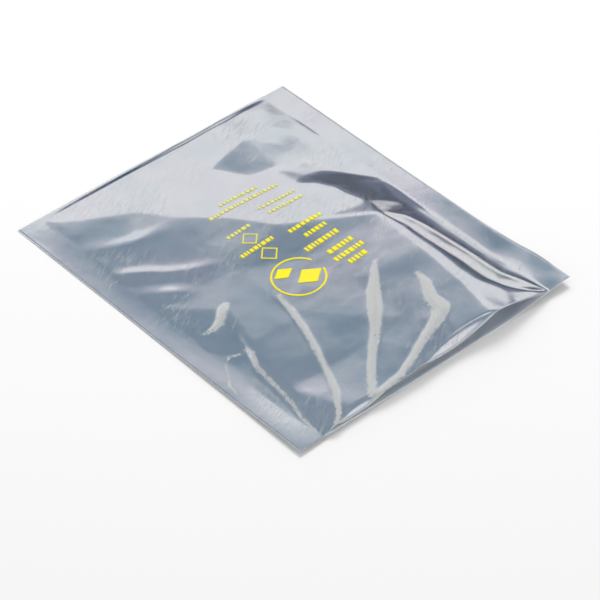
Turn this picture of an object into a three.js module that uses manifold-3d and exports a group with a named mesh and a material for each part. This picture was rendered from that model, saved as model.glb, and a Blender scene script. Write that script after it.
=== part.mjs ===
// Static shielding bag: one sheet of metallised film, folded in half across its length and
// heat-sealed down both sides. It lies on its back with its mouth propped open.
// Millimetres. +X across the bag, +Y from the mouth to the folded end, +Z up.
// The origin is on the underside, in the middle of the outline.

import * as THREE from 'three'
import { mergeVertices } from 'three/addons/utils/BufferGeometryUtils.js'
import Module from 'manifold-3d'

// The folded sheet
const bagWidth = 134
const bagLength = 160
const filmThickness = 0.08
const sideSealWidth = 10
const foldHeight = 1.0 // over the rounded edge of the folded end

// Air between the two films where nothing props them apart
const pillowHeight = 1.6
const pillowEdge = 14 // how far in from a seal or the fold it takes to open

// The propped half: a long ridge on the right, sloping down to a low shoulder on the left.
// Distances "from the mouth" run along +Y, and places across are X.
const ridgeHeight = 9.6
const ridgeAtMouth = 27
const ridgeAtFarEnd = 35
const ridgeLength = 69 // from the mouth
const shoulderHeight = 3.2
const shoulderInset = 3 // from the left seal, at the mouth
const shoulderLean = 0.2 // mm towards +X for each mm from the mouth
const farEdgeLean = 0.32 // the far edge runs this much further back for each mm left of the ridge
const farSlopeLength = 38 // from the far edge down to the pillow

// The mouth's right corner curls up off the floor
const cornerLift = 3
const cornerReach = 34

// Facets
const pocketColumns = 22
const sealColumns = 2
const filmRows = 26
const foldSteps = 2

const halfWidth = bagWidth / 2
const halfLength = bagLength / 2
const seamX = halfWidth - sideSealWidth

const clamp01 = (value) => Math.min(1, Math.max(0, value))
const ease = (value) => clamp01(value) ** 2 * (3 - 2 * clamp01(value))

// Straight lines between [place, height] points, in order of place
function taut(points, place) {
  for (let i = 1; i < points.length; i += 1) {
    const [x0, h0] = points[i - 1]
    const [x1, h1] = points[i]
    if (place <= x1) return h0 + (h1 - h0) * clamp01((place - x0) / (x1 - x0))
  }
  return points.at(-1)[1]
}

// Lift of the film over the propped half: a taut section across, let down past the far edge
function proppedHeight(x, y) {
  const fromMouth = y + halfLength
  const share = Math.min(fromMouth / ridgeLength, 1)
  const ridgeX = ridgeAtMouth + (ridgeAtFarEnd - ridgeAtMouth) * share
  const shoulderX = -seamX + shoulderInset + shoulderLean * fromMouth
  const section = [[-seamX, 0], [shoulderX, shoulderHeight], [ridgeX, ridgeHeight], [seamX, 0]]
  const farEdge = ridgeLength + farEdgeLean * Math.max(ridgeX - x, 0)
  return taut(section, x) * (1 - clamp01((fromMouth - farEdge) / farSlopeLength))
}

// A shallow cushion of air, closed at the seals and at the fold
function pillow(x, y) {
  const fromSeal = ease((seamX - Math.abs(x)) / pillowEdge)
  return pillowHeight * fromSeal * ease((halfLength - y) / pillowEdge)
}

// 0 at a seal and 1 a little way into the pocket, for what the seal holds shut
const openness = (x) => ease((seamX - Math.abs(x)) / pillowEdge)

// Height of the middle of the folded edge above the underside
const foldMiddle = (x) => filmThickness + (foldHeight / 2 - filmThickness) * openness(x)

// The upper film's outside above the underside
function outerHeight(x, y) {
  if (Math.abs(x) >= seamX) return 2 * filmThickness
  const open = Math.max(pillow(x, y), proppedHeight(x, y))
  return 2 * filmThickness + Math.max(open, 2 * foldMiddle(x) - 2 * filmThickness)
}

// How far the mouth's right corner has curled up
function curl(x, y) {
  const away = Math.hypot(halfWidth - x, y + halfLength)
  return cornerLift * ease(1 - away / cornerReach)
}

// Lower and upper surface of the bag (inset 0) or of the pocket inside it (inset one film)
function surfaces(x, y, inset) {
  const middle = foldMiddle(x)
  const radius = middle
  const fromEnd = halfLength - inset - y
  const round = fromEnd >= radius ? 1 : Math.sqrt(Math.max(0, 1 - (1 - fromEnd / radius) ** 2))
  const base = curl(x, y)
  return {
    low: base + middle - (middle - inset) * round,
    high: base + middle + (outerHeight(x, y) - inset - middle) * round,
  }
}

// Even steps from one place to another, both ends in
const steps = (from, to, count) => Array.from({ length: count + 1 }, (_, i) => from + ((to - from) * i) / count)

// A closed body between the lower and upper surface, over a grid of places
function bodyBetween(columns, rows, inset) {
  const positions = []
  const corner = (x, y, side) => {
    const place = THREE.MathUtils.clamp(y, -halfLength, halfLength)
    return new THREE.Vector3(x, y, surfaces(x, place, inset)[side])
  }
  const triangle = (a, b, c) => {
    const area = new THREE.Triangle(a, b, c).getArea()
    if (area > 1e-9) positions.push(...a.toArray(), ...b.toArray(), ...c.toArray())
  }
  const quad = (a, b, c, d) => {
    triangle(a, b, c)
    triangle(a, c, d)
  }
  const wall = (x0, y0, x1, y1) => {
    quad(corner(x0, y0, 'low'), corner(x1, y1, 'low'), corner(x1, y1, 'high'), corner(x0, y0, 'high'))
  }
  for (let i = 1; i < columns.length; i += 1) {
    const [x0, x1] = [columns[i - 1], columns[i]]
    for (let j = 1; j < rows.length; j += 1) {
      const [y0, y1] = [rows[j - 1], rows[j]]
      const cell = [[x0, y0], [x1, y0], [x1, y1], [x0, y1]]
      quad(...cell.map(([x, y]) => corner(x, y, 'high')))
      quad(...cell.toReversed().map(([x, y]) => corner(x, y, 'low')))
    }
    wall(x0, rows[0], x1, rows[0])
    wall(x1, rows.at(-1), x0, rows.at(-1))
  }
  for (let j = 1; j < rows.length; j += 1) {
    wall(columns.at(-1), rows[j - 1], columns.at(-1), rows[j])
    wall(columns[0], rows[j], columns[0], rows[j - 1])
  }
  const geometry = new THREE.BufferGeometry()
  geometry.setAttribute('position', new THREE.Float32BufferAttribute(positions, 3))
  return mergeVertices(geometry, 1e-5)
}

const wasm = await Module()
wasm.setup()

function toManifold(geometry) {
  const vertProperties = new Float32Array(geometry.attributes.position.array)
  const triVerts = new Uint32Array(geometry.index.array)
  return new wasm.Manifold(new wasm.Mesh({ numProp: 3, vertProperties, triVerts }))
}

function toGeometry(manifold) {
  const { vertProperties, triVerts } = manifold.getMesh()
  const geometry = new THREE.BufferGeometry()
  geometry.setAttribute('position', new THREE.BufferAttribute(vertProperties, 3))
  geometry.setIndex(new THREE.BufferAttribute(triVerts, 1))
  return geometry
}

// Rows from the mouth to the fold, closer together round the folded edge
function filmRowPlaces(mouth, end) {
  const roundStart = end - foldHeight / 2
  const round = steps(0, Math.PI / 2, foldSteps).map((turn) => roundStart + (foldHeight / 2) * Math.sin(turn))
  return [...steps(mouth, roundStart, filmRows).slice(0, -1), ...round]
}

function shieldingBag() {
  const pocket = steps(-seamX, seamX, pocketColumns)
  const left = steps(-halfWidth, -seamX, sealColumns).slice(0, -1)
  const right = steps(seamX, halfWidth, sealColumns).slice(1)
  const envelope = bodyBetween([...left, ...pocket, ...right], filmRowPlaces(-halfLength, halfLength), 0)
  const pastMouth = [-halfLength - 1, ...filmRowPlaces(-halfLength, halfLength - filmThickness)]
  const inside = bodyBetween(pocket, pastMouth, filmThickness)
  const bag = toManifold(envelope).subtract(toManifold(inside))
  const metallisedFilm = new THREE.MeshStandardMaterial({
    color: 0xc3c8cf,
    metalness: 0.9,
    roughness: 0.2,
    transparent: true,
    opacity: 0.6,
  })
  const mesh = new THREE.Mesh(toGeometry(bag), metallisedFilm)
  mesh.name = 'shielding_bag'
  return mesh
}

const group = new THREE.Group()
group.name = 'static_shielding_bag'
group.add(shieldingBag())

export default group
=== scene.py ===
# Static shielding bag: one folded sheet of metallised film, its yellow print, a pale floor,
# soft studio light and the camera. Shapes are worked out in millimetres.
# +X across the bag, +Y from the open mouth to the folded end, +Z up.

import math

import bpy
import numpy as np
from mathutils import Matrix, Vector
from mathutils.geometry import delaunay_2d_cdt


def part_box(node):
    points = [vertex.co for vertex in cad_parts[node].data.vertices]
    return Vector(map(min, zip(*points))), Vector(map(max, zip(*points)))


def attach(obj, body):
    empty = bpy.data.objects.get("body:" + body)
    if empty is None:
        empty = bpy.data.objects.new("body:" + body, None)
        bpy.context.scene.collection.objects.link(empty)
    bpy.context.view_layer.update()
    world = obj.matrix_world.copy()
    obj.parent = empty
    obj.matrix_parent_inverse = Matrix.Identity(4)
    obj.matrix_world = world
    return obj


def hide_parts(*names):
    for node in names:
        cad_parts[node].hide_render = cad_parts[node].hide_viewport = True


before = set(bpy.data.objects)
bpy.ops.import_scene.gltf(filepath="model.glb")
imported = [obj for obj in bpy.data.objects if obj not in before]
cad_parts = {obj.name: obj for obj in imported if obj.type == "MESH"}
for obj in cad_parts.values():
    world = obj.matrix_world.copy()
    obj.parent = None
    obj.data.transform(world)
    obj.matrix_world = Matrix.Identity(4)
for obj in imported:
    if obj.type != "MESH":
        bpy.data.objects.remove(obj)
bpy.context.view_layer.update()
print("frame loaded")

mm = 0.001
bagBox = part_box("shielding_bag")
halfWidth = (bagBox[1].x - bagBox[0].x) / 2 / mm
halfLength = (bagBox[1].y - bagBox[0].y) / 2 / mm


# Small helpers

def hexToLinear(code):
    # sRGB hex to linear: c / 12.92 below 0.04045, else ((c + 0.055) / 1.055) ** 2.4
    parts = [int(code[i:i + 2], 16) / 255 for i in (1, 3, 5)]
    linear = [c / 12.92 if c <= 0.04045 else ((c + 0.055) / 1.055) ** 2.4 for c in parts]
    return (*linear, 1.0)


def ease(low, high, value):
    # 0 below low, 1 above high, 3 t^2 - 2 t^3 between
    t = np.clip((value - low) / (high - low), 0, 1)
    return t * t * (3 - 2 * t)


def addNode(tree, kind, settings=None, inputs=None):
    # one node, its properties, and its inputs as numbers, colours or links from other sockets
    node = tree.nodes.new(kind)
    for name, value in (settings or {}).items():
        setattr(node, name, value)
    for name, value in (inputs or {}).items():
        if isinstance(value, bpy.types.NodeSocket):
            tree.links.new(value, node.inputs[name])
        else:
            node.inputs[name].default_value = value
    return node


def setStops(ramp, stops):
    # stops is a list of (position, colour), lowest first
    elements = ramp.color_ramp.elements
    while len(elements) < len(stops):
        elements.new(0.5)
    for element, (position, colour) in zip(elements, stops):
        element.position = position
        element.color = colour


# Camera: where the photo was taken from

cameraSet = {
    "azimuth": -41.85,  # degrees round from the mouth side
    "elevation": 42.05,
    "distance": 1015,
    "target": (-13.59, -20.36, 0),
    "lens": 165.6,
    "sensor": 36,
    "clip": (0.01, 20),  # metres
}


def makeCamera(values):
    azimuth, elevation = math.radians(values["azimuth"]), math.radians(values["elevation"])
    back = Vector((
        math.sin(azimuth) * math.cos(elevation),
        -math.cos(azimuth) * math.cos(elevation),
        math.sin(elevation),
    ))
    data = bpy.data.cameras.new("camera")
    data.lens = values["lens"]
    data.sensor_width = values["sensor"]
    data.clip_start, data.clip_end = values["clip"]
    camera = bpy.data.objects.new("camera", data)
    bpy.context.collection.objects.link(camera)
    camera.location = (Vector(values["target"]) + back * values["distance"]) * mm
    camera.rotation_mode = "QUATERNION"
    camera.rotation_quaternion = (-back).to_track_quat("-Z", "Y")
    bpy.context.scene.camera = camera


makeCamera(cameraSet)
print("camera placed")


# Film: heights of the folded sheet

filmSet = {
    "thickness": 0.08,
    "sealWidth": 10,
    "sealGap": 0.03,  # between the two films where they are sealed
    "columns": 150,
    "lowerRows": 54,
    "foldRows": 8,
    "upperRows": 256,
    "mapStep": 0.5,  # grid of the height map
    "softness": 0.9,  # how far a fold line is rounded near the mouth
    "farSoftness": 1.2,  # and near the folded end
    "farStart": (-5, 35),  # y over which the second takes over
    "farEdge": (40, 60),  # x over which it gives way again, beside the right seal
    "creaseSoftness": 0.45,
    "swellSoftness": 1.5,
    "lipSoftness": 0.35,
    "seamRise": 1.0,  # how soon the upper film leaves a seal
    "foldBlend": 3,  # how soon it leaves the height of the folded edge
    "rubAndHighlightWidth": 1.5,  # a rubbed band's width, as a share of its crease's; the band is whitened wear and also a painted highlight along the crease
    "rubAndHighlightStrength": 2.2,
    "rubAndHighlightSoftness": 0.4,
    "wrinkles": {"seed": 7, "sizes": [(7, 0.07), (2.8, 0.015), (1.2, 0.003)]},  # size, height
}
seamX = halfWidth - filmSet["sealWidth"]

# Points where the upper film is held or folded: x, y, height over the lower film.
# crest is the far edge of the raised half. ridge, brow and foot step down its steep right flank,
# lip is the mouth's edge, edge and out the low left flank, and plain the raised half between them.
# Behind it, drop is the steep fold beside the right seal, and leaf a shallow swell.
foldNet = {
    "seamLeft0": (-57, -80, 0), "seamLeft1": (-57, -50, 0), "seamLeft2": (-57, -20, 0),
    "seamLeft3": (-57, 10, 0), "seamLeft4": (-57, 45, 0), "seamLeft5": (-57, 80, 0),
    "seamRight0": (57, -80, 0), "seamRight1": (57, -50, 0), "seamRight2": (57, -20, 0),
    "seamRight3": (57, 10, 0), "seamRight4": (57, 45, 0), "seamRight5": (57, 80, 0),
    "end1": (-30, 80, 0.8), "end2": (0, 80, 0.8), "end3": (30, 80, 1.1),
    "crest1": (-53, 73, 0.5), "crest2": (-41, 64, 1.3), "crest3": (-27, 55, 2.4), "crest4": (-17, 40, 3.5),
    "crest5": (-4, 27, 4.3), "crest6": (5, 13, 5.0), "crest7": (18, 5, 5.4), "peak": (37, -9, 6.6),
    "ridge1": (34, -35, 7.8), "ridge2": (31, -60, 8.8), "ridge3": (27, -80, 9.4),
    "brow0": (38, -20, 7.0), "brow1": (37.5, -33, 7.45), "brow2": (37, -48, 7.8), "brow3": (37, -62, 7.9),
    "brow4": (40, -71, 7.2), "brow5": (47, -79, 4.9),
    "browLow0": (40.6, -20, 6.15), "browLow1": (41, -33, 6.25), "browLow2": (41.5, -48, 6.35),
    "browLow3": (41.5, -62, 6.4), "browLow4": (43.5, -71, 6.0), "browLow5": (49.5, -78.5, 4.1),
    "footHigh0": (45, -13, 3.4), "footHigh1": (47.8, -22, 2.3), "footHigh2": (49, -34, 1.8),
    "footHigh3": (49.8, -48, 1.7), "footHigh4": (50.2, -62, 1.6), "footHigh5": (54, -77, 1.1),
    "foot0": (53, -13, 0.8), "foot1": (52.3, -22, 0.85), "foot2": (52.8, -34, 0.65),
    "foot3": (53.2, -48, 0.6), "foot4": (53.4, -62, 0.55), "foot5": (55.6, -78, 0.4),
    "lipRight": (36, -80, 8.0), "lip1": (17, -80, 8.7), "lip2": (5, -80, 7.2), "lip3": (-8, -80, 5.7),
    "lip4": (-18, -80, 4.9), "lip5": (-28, -80, 4.2), "lip6": (-40, -80, 3.8), "lip7": (-52, -80, 2.2),
    "edge1": (-50, -55, 1.8), "edge2": (-48, -38, 2.0), "edge3": (-45, -28, 2.2), "edge4": (-40, -8, 2.2),
    "out0": (-54.5, -80, 0.25), "out1": (-53, -56, 0.15), "out2": (-51, -39, 0.2), "out3": (-48, -29, 0.3),
    "middle": (-24, 6, 3.0), "plain1": (-20, -30, 3.7), "plain2": (5, -30, 5.1), "plain3": (-20, -58, 4.0),
    "plain4": (5, -58, 5.9), "plain5": (0, -8, 4.2),
    "dropTop1": (28, 28.5, 2.7), "dropTop2": (34, 22.5, 3.2), "dropTop3": (36.6, 16, 3.95),
    "dropTop4": (37, 9, 4.5), "dropTop5": (39, 1, 4.9), "dropTop6": (46, -2, 3.1), "dropTop7": (52, -6, 1.2),
    "dropEnd0": (34.5, 28.6, 2.0), "dropEnd1": (41.5, 28.3, 1.2), "dropEnd2": (46, 24, 0.9),
    "dropEnd3": (46.5, 15.5, 1.8), "dropEnd4": (55, 9, 0.3),
    "rim1": (15.8, 40.5, 2.4), "rim2": (28, 37.5, 2.0),
    "leafTip": (8, 57, 2.7), "leafNear1": (17, 43, 2.1), "leafNear2": (30, 41, 1.5),
    "leafNear3": (46, 36, 0.5), "leafFar1": (30, 62, 3.25), "leafFar2": (42, 62, 2.45),
    "leafEnd": (51, 51, 0.9), "farSlope": (42, 71, 1.75), "end4": (48, 80, 0.5),
}

# Lines along which it is folded, from point to point
foldLines = [
    "seamLeft5 crest1 crest2 crest3 crest4 crest5 crest6 crest7 peak ridge1 ridge2 ridge3",
    "peak brow0 brow1 brow2 brow3 brow4 brow5",
    "peak browLow0 browLow1 browLow2 browLow3 browLow4 browLow5",
    "peak footHigh0 footHigh1 footHigh2 footHigh3 footHigh4 footHigh5",
    "peak foot0 foot1 foot2 foot3 foot4 foot5",
    "lip7 edge1 edge2 edge3 edge4",
    "out0 out1 out2 out3 edge4",
    "dropTop1 dropTop2 dropTop3 dropTop4 dropTop5 dropTop6 dropTop7",
    "dropTop1 dropEnd0 dropEnd1 dropEnd2 dropEnd3 dropEnd4",
    "rim1 rim2",
    "leafTip leafNear1 leafNear2 leafNear3 leafEnd",
    "leafTip leafFar1 leafFar2 leafEnd",
]

# Creases pressed up out of the film: points of x, y, half width, height
creases = {
    "leftCrease": [(-21, -17, 0.8, 0.15), (-23, -27, 1.1, 0.35), (-26, -37, 1.2, 0.4), (-30, -48, 1.2, 0.4),
                   (-35, -59, 1.1, 0.38), (-40, -69, 1.1, 0.38), (-46, -77, 1.1, 0.35), (-50, -80, 1.0, 0.3)],
    "middleCrease": [(17, -28, 0.6, 0.15), (11, -34, 1.4, 0.5), (5, -40, 2.4, 0.85), (0, -46, 2.7, 0.9),
                     (-8, -55, 1.8, 0.6), (-16, -62, 1.5, 0.5), (-23, -69, 1.5, 0.5), (-31, -78, 1.5, 0.5)],
    "rightCrease": [(23, -44, 0.7, 0.2), (21, -51, 1.8, 0.6), (17, -58, 2.3, 0.8), (16, -64, 3.2, 1.0),
                    (12, -67, 2.4, 0.8), (6, -69, 1.7, 0.6), (-2, -72, 1.4, 0.5), (-9, -75, 1.3, 0.45),
                    (-17, -78, 1.2, 0.4), (-30, -79, 1.2, 0.35)],
    "edgeCrease": [(-47, -28, 0.5, 0.1), (-47, -32, 0.9, 0.3), (-50, -38, 0.9, 0.32), (-51, -45, 0.9, 0.3),
                   (-52, -54, 0.8, 0.25), (-53, -60, 0.8, 0.25), (-55, -67, 0.8, 0.2), (-56, -76, 0.7, 0.15)],
    "squiggle": [(-49, -29, 0.5, 0.12), (-54, -27, 0.5, 0.12), (-57, -29, 0.5, 0.12), (-60, -34, 0.5, 0.12),
                 (-63, -38, 0.6, 0.12), (-64, -43, 0.6, 0.12)],
    "horn": [(-38, -7, 1.2, 0.2), (-41, -9, 2.2, 0.75), (-45, -12, 1.8, 0.65), (-49, -13, 1.2, 0.4),
             (-54, -12, 0.4, 0.05)],
}

# Soft swells of the loose film: points of x, y, half width, height
swells = {
    "longStreak": [(-57, 35, 2.5, 0.1), (-53, 32, 3.4, 0.5), (-48, 28, 3.6, 0.62), (-42, 22, 3.4, 0.5),
                   (-35, 17, 3.0, 0.38), (-26, 13, 2.4, 0.15)],
    "shortStreak": [(-54, 19, 3.0, 0.1), (-48, 13, 4.2, 0.42), (-41, 7, 4.0, 0.15)],
    "lowStreak": [(-57, -14, 2.5, 0.1), (-52, -20, 3.4, 0.35), (-46, -26, 2.5, 0.1)],
    "upperStreak": [(-54, 52, 3.0, 0.1), (-47, 47, 4.0, 0.3), (-38, 43, 4.0, 0.25), (-28, 42, 3.0, 0.1)],
    "crossStreak": [(-46, 34, 2.5, 0.1), (-38, 43, 3.0, 0.3), (-33, 51, 2.5, 0.1)],
}

# Creases that are rubbed white, and how strongly: wear, and also a painted highlight along each crease's
# ridge
scuffedAndHighlit = {
    "leftCrease": 0.9, "middleCrease": 1.0, "rightCrease": 1.0,
    "edgeCrease": 0.7, "squiggle": 0.75, "horn": 0.6,
}

# How far the lower film has come off the floor. A pair of places runs from where a lift starts
# to where it is full.
liftSet = {
    "rightCorner": {"height": 3.0, "reach": 34},
    "leftCorner": {"height": 0.6, "reach": 40},
    "leftHalf": {"height": 0.6, "across": (5, -55), "along": (90, 60)},
    "leftSide": {"height": 0.28, "reach": 14, "along": (20, -20)},
    "leftSeal": {"height": 0.35, "nearMouth": (-40, -5), "nearFold": (85, 62)},
    "rightSeal": {"height": 0.3, "atMouth": 1.2, "mouthRise": (-25, -60), "nearFold": (8, -20),
                  "nearMouth": (-79, -60)},
}

# Where the mouth's lip bends down: greatest width, x of its middle, half its length
lipBends = [(3.1, 11, 19), (2.2, -38, 12)]


def rasterNet(net, lines, columnX, rowY):
    # flat triangles between the net's points, with the fold lines as edges, read off on a grid:
    # height = w0 z0 + w1 z1 + w2 z2, with w the point's barycentric weights in its triangle
    names = list(net)
    edges = []
    for line in lines:
        stops = [names.index(name) for name in line.split()]
        edges += list(zip(stops, stops[1:]))
    corners = [Vector(net[name][:2]) for name in names]
    verts, _, faces, sources, _, _ = delaunay_2d_cdt(corners, edges, [], 0, 1e-6)
    place = np.array([tuple(v) for v in verts])
    height = np.array([net[names[source[0]]][2] for source in sources])
    gridX, gridY = np.meshgrid(columnX, rowY)
    out = np.zeros(gridX.shape)
    for face in faces:
        a, b, c = place[face[0]], place[face[1]], place[face[2]]
        area = (b[0] - a[0]) * (c[1] - a[1]) - (b[1] - a[1]) * (c[0] - a[0])
        if abs(area) < 1e-9:
            continue
        w1 = ((gridX - a[0]) * (c[1] - a[1]) - (gridY - a[1]) * (c[0] - a[0])) / area
        w2 = ((b[0] - a[0]) * (gridY - a[1]) - (b[1] - a[1]) * (gridX - a[0])) / area
        w0 = 1 - w1 - w2
        inside = (w0 > -1e-9) & (w1 > -1e-9) & (w2 > -1e-9)
        flat = w0 * height[face[0]] + w1 * height[face[1]] + w2 * height[face[2]]
        out[inside] = flat[inside]
    return out


def blur(field, sigma, step):
    # Gaussian mean with standard deviation sigma, along rows and then columns
    reach = int(np.ceil(3 * sigma / step))
    kernel = np.exp(-0.5 * (np.arange(-reach, reach + 1) * step / sigma) ** 2)
    kernel /= kernel.sum()
    padded = np.pad(field, reach, mode="edge")
    across = sum(k * padded[:, i:i + field.shape[1]] for i, k in enumerate(kernel))
    return sum(k * across[i:i + field.shape[0]] for i, k in enumerate(kernel))


def creaseHeight(gridX, gridY, points):
    # a tent over a line: height (1 - distance / half width), both sliding along the line
    best = np.zeros(gridX.shape)
    for (x0, y0, wide0, high0), (x1, y1, wide1, high1) in zip(points, points[1:]):
        along = ((gridX - x0) * (x1 - x0) + (gridY - y0) * (y1 - y0)) / ((x1 - x0) ** 2 + (y1 - y0) ** 2)
        along = np.clip(along, 0, 1)
        away = np.hypot(gridX - x0 - along * (x1 - x0), gridY - y0 - along * (y1 - y0))
        wide = wide0 + (wide1 - wide0) * along
        high = high0 + (high1 - high0) * along
        best = np.maximum(best, high * np.clip(1 - away / wide, 0, 1))
    return best


class HeightField:
    # a height map in mm on a regular grid, read off anywhere by bilinear steps
    def __init__(self, values, columnX, rowY):
        self.values, self.columnX, self.rowY = values, columnX, rowY

    def at(self, x, y):
        step = self.columnX[1] - self.columnX[0]
        fx = np.clip((x - self.columnX[0]) / step, 0, len(self.columnX) - 1.001)
        fy = np.clip((y - self.rowY[0]) / step, 0, len(self.rowY) - 1.001)
        i, j = fx.astype(int), fy.astype(int)
        u, v = fx - i, fy - j
        near = self.values[j, i] * (1 - u) + self.values[j, i + 1] * u
        far = self.values[j + 1, i] * (1 - u) + self.values[j + 1, i + 1] * u
        return near * (1 - v) + far * v


def cornerCurl(x, y, side, values):
    # height ease(1 - distance from the mouth's corner / reach)
    away = np.hypot(halfWidth - side * x, y + halfLength)
    return values["height"] * ease(0, 1, 1 - away / values["reach"])


def liftHeight(x, y):
    # the mouth's corners curl up, the left half stands a little off the floor, and each seal bends
    # along a parabola across its width, the left one down and the right one up
    half, side, left, right = (liftSet[name] for name in ("leftHalf", "leftSide", "leftSeal", "rightSeal"))
    curls = cornerCurl(x, y, 1, liftSet["rightCorner"]) + cornerCurl(x, y, -1, liftSet["leftCorner"])
    curls += half["height"] * ease(*half["across"], x) * ease(*half["along"], y)
    curls += side["height"] * ease(0, 1, 1 - (x + halfWidth) / side["reach"]) * ease(*side["along"], y)
    leftBend = 1 - np.clip((x + halfWidth) / filmSet["sealWidth"], 0, 1) ** 2
    leftBend = left["height"] * leftBend * ease(*left["nearMouth"], y) * ease(*left["nearFold"], y)
    rightBend = right["height"] + right["atMouth"] * ease(*right["mouthRise"], y)
    rightBend *= np.clip((x - seamX) / filmSet["sealWidth"], 0, 1) ** 2
    rightBend *= ease(*right["nearFold"], y) * ease(*right["nearMouth"], y)
    return curls - leftBend + rightBend


def lipDroop(x, y):
    # the mouth's lip bends down at 45 degrees in two long lenses:
    # width (1 - ((x - middle) / half length)^2) - distance from the mouth, where that is above 0
    lenses = [wide * np.clip(1 - ((x - middle) / half) ** 2, 0, 1) for wide, middle, half in lipBends]
    return np.clip(np.max(lenses, axis=0) - (y + halfLength), 0, None)


def wrinkles(values, shape, step):
    # seeded noise, smoothed to the size of a wrinkle and scaled to its height
    rng = np.random.default_rng(values["seed"])
    out = np.zeros(shape)
    for size, height in values["sizes"]:
        noise = blur(rng.standard_normal(shape), size, step)
        out += height * noise / noise.std()
    return out


def makeHeights(values):
    # gap = softened net + creases + swells - lip + wrinkles, down to the seal's gap at the seams;
    # and the rubbed creases' map as wider tents, 0 to 1: whitened wear and a painted highlight along each
    # crease
    step = values["mapStep"]
    columnX = np.arange(-halfWidth, halfWidth + step / 2, step)
    rowY = np.arange(-halfLength, halfLength + step / 2, step)
    gridX, gridY = np.meshgrid(columnX, rowY)
    net = rasterNet(foldNet, foldLines, columnX, rowY)
    near, far = blur(net, values["softness"], step), blur(net, values["farSoftness"], step)
    share = ease(*values["farStart"], gridY) * (1 - ease(*values["farEdge"], gridX))
    gap = near + (far - near) * share
    sharp = sum(creaseHeight(gridX, gridY, points) for points in creases.values())
    soft = sum(creaseHeight(gridX, gridY, points) for points in swells.values())
    gap = gap + blur(sharp, values["creaseSoftness"], step) + blur(soft, values["swellSoftness"], step)
    gap = gap - blur(lipDroop(gridX, gridY), values["lipSoftness"], step)
    gap = np.maximum(gap + wrinkles(values["wrinkles"], gridX.shape, step), 0)
    gap = gap * ease(-seamX, -seamX + values["seamRise"], -np.abs(gridX)) + values["sealGap"]
    # the rubbed bands, whose whitening is wear and also a painted highlight along the creases
    wornAndHighlit = []
    for name, rubAndHighlight in scuffedAndHighlit.items():
        band = [(x, y, wide * values["rubAndHighlightWidth"], rubAndHighlight) for x, y, wide, _ in creases[name]]
        wornAndHighlit.append(creaseHeight(gridX, gridY, band))
    scuffAndHighlight = np.clip(values["rubAndHighlightStrength"] * np.max(wornAndHighlit, axis=0), 0, 1)
    scuffAndHighlight = blur(scuffAndHighlight, values["rubAndHighlightSoftness"], step)
    return HeightField(gap, columnX, rowY), HeightField(scuffAndHighlight, columnX, rowY)


gapField, scuffAndHighlightField = makeHeights(filmSet)
print("film heights made")


# Film: the folded sheet as a closed thin shell

def closedShell(outer, inner):
    # two grids of points (rows, columns, 3) face to face, joined by walls round their rims
    rows, columns = outer.shape[:2]
    count = rows * columns
    index = np.arange(count).reshape(rows, columns)
    a, b, c, d = index[:-1, :-1], index[:-1, 1:], index[1:, 1:], index[1:, :-1]
    outerFaces = np.stack([a, b, c, d], -1).reshape(-1, 4)
    innerFaces = np.stack([d, c, b, a], -1).reshape(-1, 4) + count
    rim = np.concatenate([index[0, :], index[1:, -1], index[-1, -2::-1], index[-2:0:-1, 0]])
    after = np.roll(rim, -1)
    rimFaces = np.stack([after, rim, rim + count, after + count], -1)
    points = np.concatenate([outer.reshape(-1, 3), inner.reshape(-1, 3)])
    return points, np.concatenate([outerFaces, innerFaces, rimFaces])


def addMesh(name, points, faces, uv=None, wearAndHighlight=None):
    # points in mm; every face has four corners
    mesh = bpy.data.meshes.new(name)
    mesh.vertices.add(len(points))
    mesh.vertices.foreach_set("co", (points * mm).astype(np.float32).ravel())
    mesh.loops.add(faces.size)
    mesh.loops.foreach_set("vertex_index", faces.astype(np.int32).ravel())
    mesh.polygons.add(len(faces))
    mesh.polygons.foreach_set("loop_start", np.arange(0, faces.size, 4, dtype=np.int32))
    mesh.polygons.foreach_set("use_smooth", np.ones(len(faces), dtype=bool))
    mesh.update(calc_edges=True)
    if uv is not None:
        layer = mesh.uv_layers.new(name="sheet")
        layer.data.foreach_set("uv", uv[faces.ravel()].astype(np.float32).ravel())
    # the rubbed-crease map, kept for the material: wear and painted highlight along the creases
    if wearAndHighlight is not None:
        mesh.attributes.new("scuffAndHighlight", "FLOAT", "POINT").data.foreach_set("value", wearAndHighlight.astype(np.float32))
    mesh.validate()
    piece = bpy.data.objects.new(name, mesh)
    bpy.context.collection.objects.link(piece)
    return piece


def surfaceNormals(points):
    # cross product of the grid's two directions, unit length
    down = np.gradient(points, axis=0)
    across = np.gradient(points, axis=1)
    normal = np.cross(across, down)
    return normal / np.linalg.norm(normal, axis=-1, keepdims=True)


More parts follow.
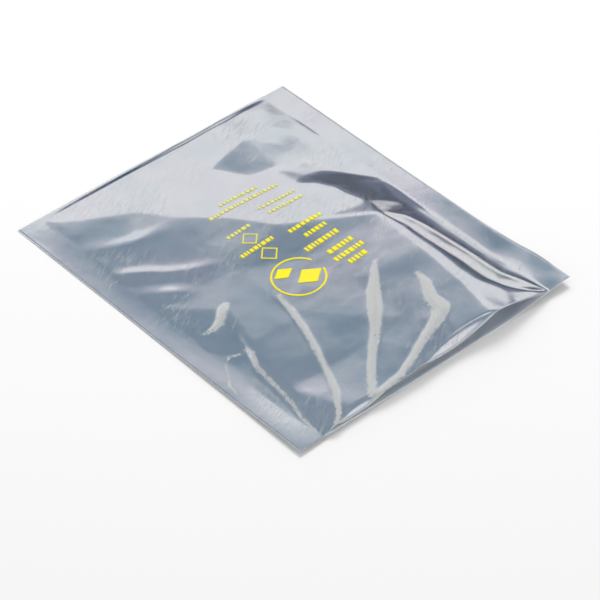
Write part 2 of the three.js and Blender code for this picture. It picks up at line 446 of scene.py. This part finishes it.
def makeFilm(values):
    # the sheet's path runs from the mouth along the lower film, round the fold and back over the top:
    # lower z = lift + t / 2, fold = half circle, upper z = lift + 1.5 t + gap
    t = values["thickness"]
    x = np.linspace(-halfWidth, halfWidth, values["columns"] + 1)
    endGap = gapField.at(x, np.full_like(x, halfLength))
    radius = (t + endGap) / 2
    foldY = halfLength - t / 2 - radius
    steps = np.linspace(0, 1, values["lowerRows"] + 1)[:, None]
    lowerY = -halfLength + (foldY + halfLength) * steps
    gridX = np.broadcast_to(x, lowerY.shape)
    lift = liftHeight(gridX, lowerY)
    lower = np.stack([gridX, lowerY, lift + t / 2], -1)
    turn = np.linspace(0, math.pi, values["foldRows"] + 1)[1:-1, None]
    turnY = foldY + radius * np.sin(turn)
    turnZ = liftHeight(x, foldY) + t / 2 + radius * (1 - np.cos(turn))
    fold = np.stack([np.broadcast_to(x, turnY.shape), turnY, turnZ], -1)
    steps = np.linspace(0, 1, values["upperRows"] + 1)[:, None]
    upperY = foldY + (-halfLength - foldY) * steps
    gridX = np.broadcast_to(x, upperY.shape)
    blend = ease(-values["foldBlend"], 0, upperY - foldY)
    gap = gapField.at(gridX, upperY) * (1 - blend) + endGap * blend
    upper = np.stack([gridX, upperY, liftHeight(gridX, upperY) + 1.5 * t + gap], -1)
    middle = np.concatenate([lower, fold, upper])
    normal = surfaceNormals(middle)
    points, faces = closedShell(middle - normal * t / 2, middle + normal * t / 2)
    along = np.concatenate([[0], np.cumsum(np.linalg.norm(np.diff(middle, axis=0), axis=-1).mean(1))])
    across = x + halfWidth
    uv = np.stack(np.broadcast_arrays(across[None, :], along[:, None]), -1).reshape(-1, 2) * mm
    # rubbed creases on the upper film only: wear and painted highlight along the creases
    scuffAndHighlight = np.zeros(middle.shape[:2])
    scuffAndHighlight[-len(upper):] = scuffAndHighlightField.at(upper[..., 0], upper[..., 1])
    wearAndHighlight = np.concatenate([scuffAndHighlight.ravel(), scuffAndHighlight.ravel()])
    return addMesh("film", points, faces, np.concatenate([uv, uv]), wearAndHighlight), upper


film, upperFilm = makeFilm(filmSet)
print("film made:", len(film.data.polygons), "faces")


# Film material

# Static shielding film: polyester with a vacuum-deposited metal coat, laminated to polyethylene.
# To the eye it is a smoked mirror: cool silver, half see-through, glossy, with fine crinkles.
filmLook = {
    "silver": "#F0F2F4",
    "cool": "#E8EEF1",
    "violet": "#EFEEF3",
    # rubbed creases and scratches: near white, less metal, rougher; on the creases this is a painted
    # highlight as well as wear
    "wornAndHighlit": "#F2F1EC",
    "wornAndHighlitMetal": 0.35,
    "wornAndHighlitRoughness": 0.42,
    "alpha": 0.5,
    "roughness": (0.05, 0.11),
    # patterns, in cells per metre
    "tint": 28.0,  # a faint drift of colour every 36 mm
    "haze": 60.0,  # clearer and duller every 17 mm
    "dent": 140.0,  # handling dents, 7 mm
    "dentDepth": 0.00003,  # metres
    "grain": 900.0,  # crinkles of 1.1 mm, coarser than the real ones, which are too fine to show
    "grainDepth": 0.000006,
    "speckle": 1400.0,  # 0.7 mm, with finer detail in it
    "speckleWeight": 2.6,
    "rubbedAndHighlit": (1.72, 2.15),  # speckle and scuff together at which the metal starts to go, and is gone: a whitening that is wear and also a painted highlight on the creases
    "rubbedAndHighlitMost": 0.95,
    # hairline scratches 5 mm long and 0.4 mm wide, several times the real width, so that they show
    "scratchTurn": -28,  # degrees
    "scratchCells": (220, 2600, 220),
    "scratch": (0.56, 0.68),
    "patch": 45.0,  # they lie in patches of 22 mm
    "patchy": (0.44, 0.62),
    "scratchMost": 0.42,
}


def makeFilmMaterial(values):
    material = bpy.data.materials.new("metallised shielding film")
    material.use_nodes = True
    tree = material.node_tree
    tree.nodes.clear()
    place = addNode(tree, "ShaderNodeTexCoord").outputs["Object"]
    tint = addNode(tree, "ShaderNodeTexNoise", None,
                   {"Vector": place, "Scale": values["tint"], "Detail": 3.0, "Roughness": 0.55})
    ramp = addNode(tree, "ShaderNodeValToRGB", None, {"Fac": tint.outputs["Fac"]})
    setStops(ramp, [(0.36, hexToLinear(values["cool"])), (0.5, hexToLinear(values["silver"])),
                    (0.64, hexToLinear(values["violet"]))])
    # rubbed creases are whitened, and a speckle breaks up their edges; this whitening is wear and also a
    # painted highlight along each crease
    scuffAndHighlight = addNode(tree, "ShaderNodeAttribute", {"attribute_name": "scuffAndHighlight"}).outputs["Fac"]
    speckle = addNode(tree, "ShaderNodeTexNoise", None,
                      {"Vector": place, "Scale": values["speckle"], "Detail": 3.0, "Roughness": 0.7})
    broken = addNode(tree, "ShaderNodeMath", {"operation": "MULTIPLY_ADD"})
    tree.links.new(speckle.outputs["Fac"], broken.inputs[0])
    broken.inputs[1].default_value = values["speckleWeight"]
    tree.links.new(scuffAndHighlight, broken.inputs[2])
    rubbedAndHighlit = addNode(tree, "ShaderNodeMapRange", None,
                     {"Value": broken.outputs["Value"], "From Min": values["rubbedAndHighlit"][0],
                      "From Max": values["rubbedAndHighlit"][1], "To Max": values["rubbedAndHighlitMost"]})
    # hairline scratches in patches: noise turned, then stretched along one direction
    turned = addNode(tree, "ShaderNodeVectorRotate", {"rotation_type": "Z_AXIS"},
                     {"Vector": place, "Angle": math.radians(values["scratchTurn"])})
    stretched = addNode(tree, "ShaderNodeMapping", None,
                        {"Vector": turned.outputs["Vector"], "Scale": values["scratchCells"]})
    lines = addNode(tree, "ShaderNodeTexNoise", None,
                    {"Vector": stretched.outputs["Vector"], "Scale": 1.0, "Detail": 1.0})
    patches = addNode(tree, "ShaderNodeTexNoise", None,
                      {"Vector": place, "Scale": values["patch"], "Detail": 1.0})
    patchy = addNode(tree, "ShaderNodeMapRange", None,
                     {"Value": patches.outputs["Fac"], "From Min": values["patchy"][0],
                      "From Max": values["patchy"][1], "To Max": values["scratchMost"]})
    scratch = addNode(tree, "ShaderNodeMapRange", None,
                      {"Value": lines.outputs["Fac"], "From Min": values["scratch"][0],
                       "From Max": values["scratch"][1], "To Max": patchy.outputs["Result"]})
    # rubbed creases and scratches together; the creases' share is a painted highlight as well as wear
    wornAndHighlit = addNode(tree, "ShaderNodeMath", {"operation": "MAXIMUM"})
    tree.links.new(rubbedAndHighlit.outputs["Result"], wornAndHighlit.inputs[0])
    tree.links.new(scratch.outputs["Result"], wornAndHighlit.inputs[1])
    # the near-white mix of rubbed creases and scratches, partly painted highlight along the creases
    colour = addNode(tree, "ShaderNodeMix", {"data_type": "RGBA"},
                     {"Factor": wornAndHighlit.outputs["Value"], "A": ramp.outputs["Color"],
                      "B": hexToLinear(values["wornAndHighlit"])})
    metal = addNode(tree, "ShaderNodeMapRange", None,
                    {"Value": wornAndHighlit.outputs["Value"], "To Min": 1.0, "To Max": values["wornAndHighlitMetal"]})
    haze = addNode(tree, "ShaderNodeTexNoise", None,
                   {"Vector": place, "Scale": values["haze"], "Detail": 4.0})
    rough = addNode(tree, "ShaderNodeMapRange", None,
                    {"Value": haze.outputs["Fac"], "From Min": 0.3, "From Max": 0.7,
                     "To Min": values["roughness"][0], "To Max": values["roughness"][1]})
    roughWornAndHighlit = addNode(tree, "ShaderNodeMapRange", None,
                        {"Value": wornAndHighlit.outputs["Value"], "To Min": rough.outputs["Result"],
                         "To Max": values["wornAndHighlitRoughness"]})
    dents = addNode(tree, "ShaderNodeTexNoise", None,
                    {"Vector": place, "Scale": values["dent"], "Detail": 3.0, "Roughness": 0.5,
                     "Distortion": 0.6})
    grain = addNode(tree, "ShaderNodeTexNoise", None,
                    {"Vector": place, "Scale": values["grain"], "Detail": 2.0, "Roughness": 0.5})
    dented = addNode(tree, "ShaderNodeBump", None,
                     {"Height": dents.outputs["Fac"], "Strength": 1.0, "Distance": values["dentDepth"]})
    crinkled = addNode(tree, "ShaderNodeBump", None,
                       {"Height": grain.outputs["Fac"], "Strength": 1.0, "Distance": values["grainDepth"],
                        "Normal": dented.outputs["Normal"]})
    shader = addNode(tree, "ShaderNodeBsdfPrincipled", None,
                     {"Base Color": colour.outputs["Result"], "Metallic": metal.outputs["Result"],
                      "Roughness": roughWornAndHighlit.outputs["Result"], "Alpha": values["alpha"],
                      "Normal": crinkled.outputs["Normal"]})
    addNode(tree, "ShaderNodeOutputMaterial", None, {"Surface": shader.outputs["BSDF"]})
    return material


film.data.materials.append(makeFilmMaterial(filmLook))

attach(film, "root")
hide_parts("shielding_bag")
print("film finished")


# Print: screen-printed yellow ink, as plain shapes and rows of bars

printSet = {
    "base": 0.04,  # mm over the film
    "thickness": 0.04,
    "ring": {"middle": (-8.5, -14), "radius": 10.2, "line": 0.85, "from": 20, "to": 345},
    "lozenges": [((-11.6, -8.8), 9.0, 6.0), ((-5.2, -16.4), 12.0, 9.0)],  # middle, width and length
    "diamonds": [((-8, 14), 7.0, 0.75), ((-8, 3), 7.6, 0.8)],  # middle, width and line
    # rows of bars: from x, to x, y of the middle, height of a bar
    "rows": [(3, 19, -5, 2.6), (8, 20, -12, 2.6), (7, 21, -16.8, 2.6), (10, 19, -21.4, 2.6),
             (-17, -1, 8.6, 2.0), (-14, -3, 20, 1.8), (-12, 23, 32.5, 1.7), (-4, 15, 36.5, 1.5),
             (6, 24, 25, 1.5), (7, 24, 20.5, 1.6), (5, 21, 6.5, 2.0), (8, 19, 1, 2.2)],
    "barWidth": (0.9, 2.1),
    "barGap": (0.35, 0.55),
    "leastRoom": 0.8,  # a row ends where less than this is left
    "ringSteps": 120,
    "lozengeSteps": 12,
    "diamondSteps": 64,
    "barSteps": 3,
    "seed": 11,
}


def filmTop(x, y):
    # height of the upper film's outside, read off the film's own grid
    columnX = upperFilm[0, :, 0]
    column = np.clip((x - columnX[0]) / (columnX[1] - columnX[0]), 0, len(columnX) - 1.001)
    i = column.astype(int)
    u = column - i
    ends = upperFilm[0, i, 1] * (1 - u) + upperFilm[0, i + 1, 1] * u
    row = np.clip((ends - y) / (ends + halfLength), 0, 1) * (len(upperFilm) - 1.001)
    j = row.astype(int)
    v = row - j
    height = upperFilm[..., 2]
    near = height[j, i] * (1 - u) + height[j, i + 1] * u
    far = height[j + 1, i] * (1 - u) + height[j + 1, i + 1] * u
    return near * (1 - v) + far * v + filmSet["thickness"] / 2


def inkShell(x, y, loop=False):
    # a patch over the film, closed by walls; a loop closes on itself along its columns
    low = filmTop(x, y) + printSet["base"]
    outer = np.stack([x, y, low + printSet["thickness"]], -1)
    inner = np.stack([x, y, low], -1)
    if not loop:
        return closedShell(outer, inner)
    ring = np.stack([outer[0], outer[-1], inner[-1], inner[0]])
    sides, count = ring.shape[:2]
    index = np.arange(sides * count).reshape(sides, count)
    nextSide, nextColumn = np.roll(index, -1, 0), np.roll(index, -1, 1)
    faces = np.stack([index, nextColumn, np.roll(nextSide, -1, 1), nextSide], -1).reshape(-1, 4)
    return ring.reshape(-1, 3), faces


def makePrint(values):
    shells = []
    # arc: middle + (radius + line v) (cos a, sin a)
    ring = values["ring"]
    angle = np.radians(np.linspace(ring["from"], ring["to"], values["ringSteps"] + 1))[None, :]
    radius = ring["radius"] + ring["line"] * np.array([[-0.5], [0.5]])
    x, y = ring["middle"]
    shells.append(inkShell(x + radius * np.cos(angle), y + radius * np.sin(angle)))
    # lozenge: middle + (width (u + v) / 2, length (v - u) / 2), u and v from -1 / 2 to 1 / 2
    side = np.linspace(-0.5, 0.5, values["lozengeSteps"] + 1)
    u, v = np.meshgrid(side, side)
    for (x, y), width, length in values["lozenges"]:
        shells.append(inkShell(x + width * (u + v) / 2, y + length * (v - u) / 2))
    # outlined diamond: middle + (half width + line v) along the unit diamond
    turn = np.linspace(0, 4, values["diamondSteps"], endpoint=False)
    cornerX = np.interp(turn, range(5), [1, 0, -1, 0, 1])
    cornerY = np.interp(turn, range(5), [0, 1, 0, -1, 0])
    for (x, y), width, line in values["diamonds"]:
        size = width / 2 + line * np.array([[-0.5], [0.5]])
        shells.append(inkShell(x + size * cornerX, y + size * cornerY, loop=True))
    # bar: from x0 to x0 + width, y +- height / 2
    rng = np.random.default_rng(values["seed"])
    side = np.linspace(0, 1, values["barSteps"] + 1)
    u, v = np.meshgrid(side, side - 0.5)
    for start, end, middle, height in values["rows"]:
        x = start
        while x < end - values["leastRoom"]:
            width = min(rng.uniform(*values["barWidth"]), end - x)
            shells.append(inkShell(x + width * u, middle + height * v))
            x += width + rng.uniform(*values["barGap"])
    points = np.concatenate([shell[0] for shell in shells])
    starts = np.cumsum([0] + [len(shell[0]) for shell in shells[:-1]])
    faces = np.concatenate([shell[1] + start for shell, start in zip(shells, starts)])
    return addMesh("print", points, faces)


# Yellow solvent ink, screen-printed: flat, opaque and a little uneven, with a faint gloss
inkLook = {
    "colour": "#FFF000",
    "thin": "#F3E94A",
    "faded": "#E3E07F",
    "fading": (0.008, 0.024),  # metres along y, over which it turns to the faded colour
    "roughness": 0.4,
    "patch": 350.0,  # cells per metre, one every 3 mm
    "patchDepth": 0.00001,
}


def makeInkMaterial(values):
    material = bpy.data.materials.new("yellow screen ink")
    material.use_nodes = True
    tree = material.node_tree
    tree.nodes.clear()
    place = addNode(tree, "ShaderNodeTexCoord").outputs["Object"]
    patches = addNode(tree, "ShaderNodeTexNoise", None,
                      {"Vector": place, "Scale": values["patch"], "Detail": 4.0})
    ramp = addNode(tree, "ShaderNodeValToRGB", None, {"Fac": patches.outputs["Fac"]})
    setStops(ramp, [(0.35, hexToLinear(values["thin"])), (0.6, hexToLinear(values["colour"]))])
    # printed thinner towards the folded end
    split = addNode(tree, "ShaderNodeSeparateXYZ", None, {"Vector": place})
    far = addNode(tree, "ShaderNodeMapRange", {"interpolation_type": "SMOOTHSTEP"},
                  {"Value": split.outputs["Y"], "From Min": values["fading"][0],
                   "From Max": values["fading"][1]})
    faded = addNode(tree, "ShaderNodeMix", {"data_type": "RGBA"},
                    {"Factor": far.outputs["Result"], "A": ramp.outputs["Color"],
                     "B": hexToLinear(values["faded"])})
    bump = addNode(tree, "ShaderNodeBump", None,
                   {"Height": patches.outputs["Fac"], "Strength": 1.0, "Distance": values["patchDepth"]})
    shader = addNode(tree, "ShaderNodeBsdfPrincipled", None,
                     {"Base Color": faded.outputs["Result"], "Metallic": 0.0, "IOR": 1.5,
                      "Roughness": values["roughness"], "Normal": bump.outputs["Normal"]})
    addNode(tree, "ShaderNodeOutputMaterial", None, {"Surface": shader.outputs["BSDF"]})
    return material


ink = makePrint(printSet)
ink.data.materials.append(makeInkMaterial(inkLook))
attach(ink, "root")
print("print made")


# Floor, light and world

stageSet = {
    "floorColour": "#F4F4F3",
    "floorGrain": "#F3F3F3",
    "floorReach": 2500,  # mm to each side
    "floorLevel": -0.03,  # mm, so that it never meets the film
    "ambient": 0.62,
    "keyPower": 27.5,  # watts
    "keySize": 0.9,  # metres
    "keyPlace": (0.9, 1.0, 1.5),
}


def makeFloor(values):
    # four corners at plus and minus reach
    corners = np.array([(-1, -1, 0), (1, -1, 0), (1, 1, 0), (-1, 1, 0)]) * values["floorReach"]
    corners = corners + np.array([0, 0, values["floorLevel"]])
    floor = addMesh("floor", corners, np.array([[0, 1, 2, 3]]))
    material = bpy.data.materials.new("matt white board")
    material.use_nodes = True
    tree = material.node_tree
    tree.nodes.clear()
    grain = addNode(tree, "ShaderNodeTexNoise", None, {"Scale": 3.0, "Detail": 2.0})
    ramp = addNode(tree, "ShaderNodeValToRGB", None, {"Fac": grain.outputs["Fac"]})
    setStops(ramp, [(0.3, hexToLinear(values["floorGrain"])), (0.7, hexToLinear(values["floorColour"]))])
    shader = addNode(tree, "ShaderNodeBsdfDiffuse", None, {"Color": ramp.outputs["Color"]})
    addNode(tree, "ShaderNodeOutputMaterial", None, {"Surface": shader.outputs["BSDF"]})
    floor.data.materials.append(material)


# What the film mirrors, by height above the horizon in degrees: a white sweep, a dark gap under
# a pale panel, the blue-grey of the room above it, and white light overhead
studioBands = [
    (-90, (0.95, 0.95, 0.95)), (0, (0.98, 0.98, 0.98)), (7, (0.98, 0.98, 0.99)),
    (10, (0.04, 0.06, 0.10)), (14, (0.05, 0.07, 0.11)), (17, (0.16, 0.20, 0.28)), (22.5, (0.20, 0.24, 0.33)),
    (26, (1.02, 1.02, 1.05)), (39.5, (1.02, 1.02, 1.05)), (41.2, (0.60, 0.62, 0.70)),
    (43.8, (0.44, 0.515, 0.60)), (47, (0.24, 0.325, 0.42)), (66, (0.26, 0.33, 0.42)),
    (76, (1.1, 1.1, 1.1)), (90, (1.1, 1.1, 1.1)),
]


def makeWorld(values):
    world = bpy.data.worlds.new("studio")
    bpy.context.scene.world = world
    world.use_nodes = True
    world.cycles.sampling_method = "NONE"
    tree = world.node_tree
    tree.nodes.clear()
    direction = addNode(tree, "ShaderNodeTexCoord").outputs["Generated"]
    split = addNode(tree, "ShaderNodeSeparateXYZ", None, {"Vector": direction})
    share = addNode(tree, "ShaderNodeMapRange", None,
                    {"Value": split.outputs["Z"], "From Min": -1.0, "From Max": 1.0})
    ramp = addNode(tree, "ShaderNodeValToRGB", None, {"Fac": share.outputs["Result"]})
    # a height e sits at (sin e + 1) / 2 on the ramp
    places = [(math.sin(math.radians(height)) + 1) / 2 for height, _ in studioBands]
    setStops(ramp, [(stop, (*colour, 1)) for stop, (_, colour) in zip(places, studioBands)])
    path = addNode(tree, "ShaderNodeLightPath")
    ambient = addNode(tree, "ShaderNodeMix", {"data_type": "RGBA"},
                      {"Factor": path.outputs["Is Glossy Ray"], "A": (*[values["ambient"]] * 3, 1),
                       "B": ramp.outputs["Color"]})
    seen = addNode(tree, "ShaderNodeMath", {"operation": "MAXIMUM"})
    tree.links.new(path.outputs["Is Camera Ray"], seen.inputs[0])
    tree.links.new(path.outputs["Is Transmission Ray"], seen.inputs[1])
    final = addNode(tree, "ShaderNodeMix", {"data_type": "RGBA"},
                    {"Factor": seen.outputs["Value"], "A": ambient.outputs["Result"], "B": (1, 1, 1, 1)})
    background = addNode(tree, "ShaderNodeBackground", None,
                         {"Color": final.outputs["Result"], "Strength": 1.0})
    addNode(tree, "ShaderNodeOutputWorld", None, {"Surface": background.outputs["Background"]})


def makeKey(values):
    data = bpy.data.lights.new("softbox", "AREA")
    data.shape = "SQUARE"
    data.size = values["keySize"]
    data.energy = values["keyPower"]
    lamp = bpy.data.objects.new("softbox", data)
    bpy.context.collection.objects.link(lamp)
    lamp.location = values["keyPlace"]
    lamp.rotation_mode = "QUATERNION"
    lamp.rotation_quaternion = (-Vector(values["keyPlace"])).to_track_quat("-Z", "Y")
    lamp.visible_glossy = False
    lamp.visible_camera = False


makeFloor(stageSet)
makeWorld(stageSet)
makeKey(stageSet)

scene = bpy.context.scene
scene.view_settings.view_transform = "Standard"
scene.cycles.transparent_max_bounces = 24  # a ray may cross both films many times
print("stage made")
